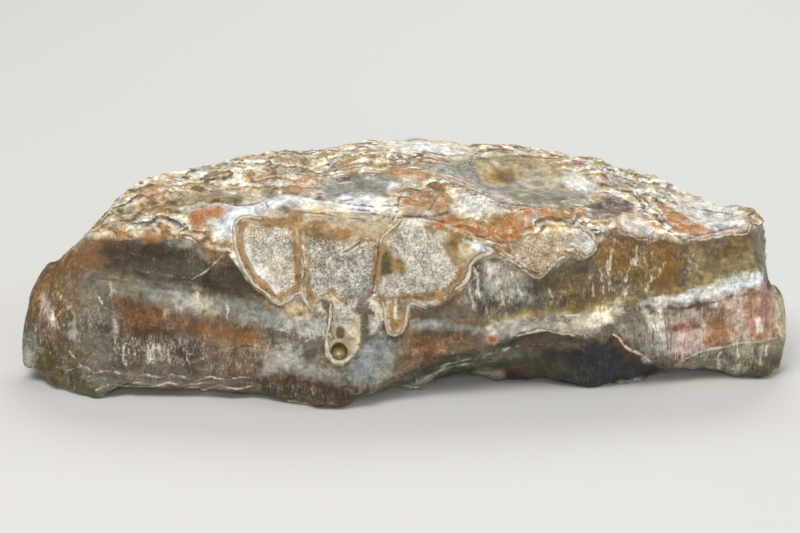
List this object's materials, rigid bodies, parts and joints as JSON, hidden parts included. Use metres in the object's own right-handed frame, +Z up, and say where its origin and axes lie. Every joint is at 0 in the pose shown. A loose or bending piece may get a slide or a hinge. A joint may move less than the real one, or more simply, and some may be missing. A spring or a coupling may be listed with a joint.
{
  "type": "rough waterline agate",
  "caption": "Rough broken piece of waterline agate: folded rind on top, level bands and tube sections on the face, scooped edge below.",
  "frame": {"origin": "middle of the stone's box, at its bottom, where it rests", "axes": "+X along the stone's length to its right end, +Y from the broken face to the back, +Z up"},
  "size_m": [0.1532, 0.0658, 0.0401],
  "materials": {
    "agate": "broken agate: waxy and slightly translucent bands, matt white and rust rind"
  },
  "bodies": {
    "root": {"agate": "agate"}
  },
  "joints": []
}
